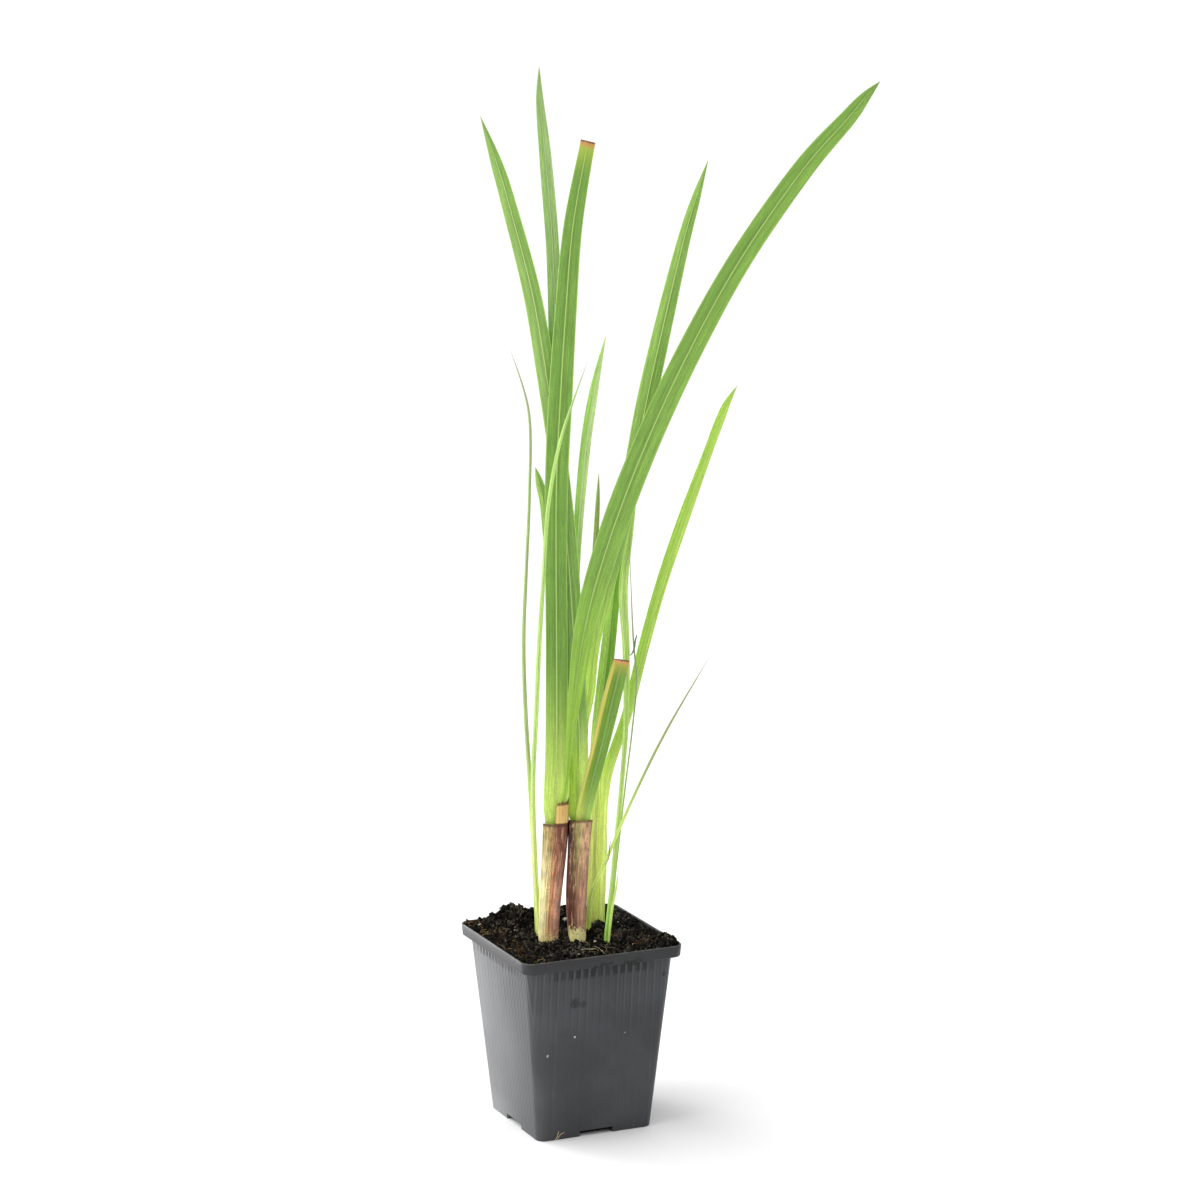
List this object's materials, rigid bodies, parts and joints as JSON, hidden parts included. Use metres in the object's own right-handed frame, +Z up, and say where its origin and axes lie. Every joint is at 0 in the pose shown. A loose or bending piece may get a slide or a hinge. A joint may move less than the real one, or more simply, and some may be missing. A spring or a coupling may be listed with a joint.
{
  "type": "potted crimson flag lily",
  "caption": "Young crimson flag lily in leaf: fans of sword-shaped leaves standing in a square plastic nursery pot full of soil.",
  "frame": {"origin": "middle of the pot's flat underside", "axes": "+Z up, +X and +Y along the pot's sides; the fans of leaves stand turned by about 24 degrees to them"},
  "size_m": [0.1708, 0.1391, 0.5495],
  "materials": {
    "pot": "moulded black plastic, satin, finely ribbed",
    "soil": "crumbly dark peat with tan fibres and white grains",
    "leaf": "fresh green leaf with a pale midrib and fine lengthwise veins",
    "blade": "thin pale green blade",
    "dry_sheath": "dry sheath, streaked cream, orange tan and red-brown"
  },
  "bodies": {
    "root": {"pot": "pot", "soil": "soil", "sheath_left": "dry_sheath", "sheath_right": "dry_sheath", "leaf_arching": "leaf", "leaf_trimmed_tall": "leaf", "leaf_tallest": "leaf", "leaf_far_left": "leaf", "leaf_right_back": "leaf", "leaf_middle": "leaf", "leaf_young": "leaf", "leaf_short_left": "leaf", "leaf_trimmed_short": "leaf", "side_leaf_dark": "leaf", "side_leaf_right": "leaf", "side_sheath": "leaf", "edge_leaf": "leaf", "thread_blade": "blade", "thread_tip": "blade", "blade_left_back": "blade", "blade_left_front": "blade", "blade_right_arching": "blade"}
  },
  "joints": []
}
